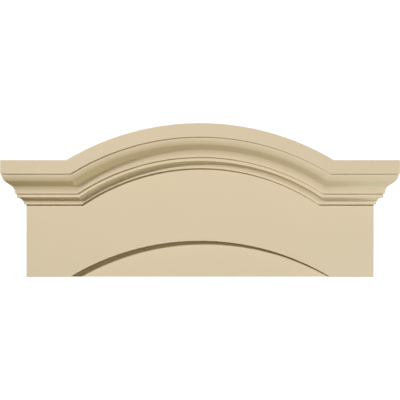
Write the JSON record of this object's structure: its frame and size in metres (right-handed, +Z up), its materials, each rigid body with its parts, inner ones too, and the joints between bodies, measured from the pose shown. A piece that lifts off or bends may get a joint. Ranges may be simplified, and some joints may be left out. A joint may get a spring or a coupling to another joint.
{
  "type": "segmental pediment",
  "caption": "Moulded door or window head: a crown with fascia, ogee and cove rises in a low arch over a plain frieze with a shallow arched field; flat back and foot.",
  "frame": {"origin": "fixing point on the flat back, at mid width, 180 mm above the foot", "axes": "+Z up, +X to the right as seen from the front, +Y into the wall; the moulded front faces -Y and the back lies in y = 0"},
  "size_m": [1.2, 0.1035, 0.467],
  "materials": {
    "primer": "matte tan primer on moulded rigid foam"
  },
  "bodies": {
    "root": {"pediment": "primer"}
  },
  "joints": []
}
